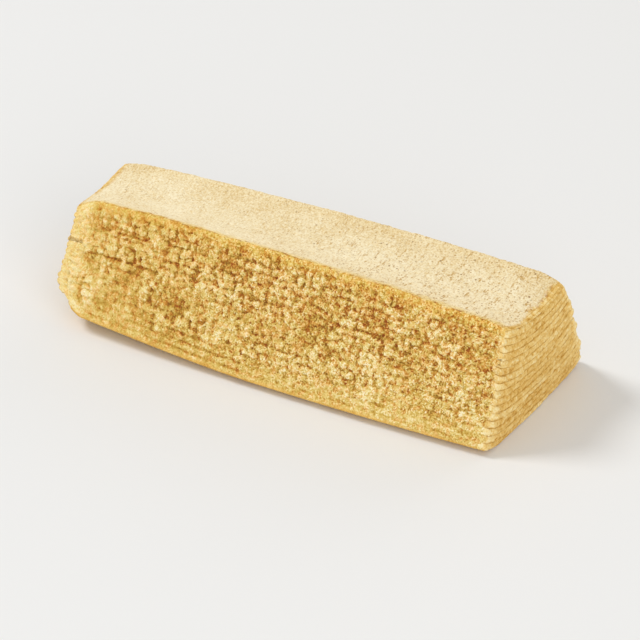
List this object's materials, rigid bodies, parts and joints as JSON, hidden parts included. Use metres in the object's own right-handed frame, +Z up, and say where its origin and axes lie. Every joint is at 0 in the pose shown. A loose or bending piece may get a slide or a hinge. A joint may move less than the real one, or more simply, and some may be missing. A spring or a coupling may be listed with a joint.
{
  "type": "baumkuchen slice",
  "caption": "Bar-shaped slice of layered spit cake: narrow pale skin on top, torn crumb sides, ribbed ends and a flat browned crust underneath.",
  "frame": {"origin": "centre of the footprint, on the plane the slice rests on", "axes": "+X along the roll the slice was cut from, towards the end that shows in the picture; +Z up, from the outer crust to the core-side skin; -Y towards the long cut side that shows in the picture"},
  "size_m": [0.1114, 0.0434, 0.0277],
  "materials": {
    "layered_cake": "golden sponge crumb, matt and porous, paler on the top skin and browner at the base crust"
  },
  "bodies": {
    "root": {"baumkuchen_slice": "layered_cake"}
  },
  "joints": []
}
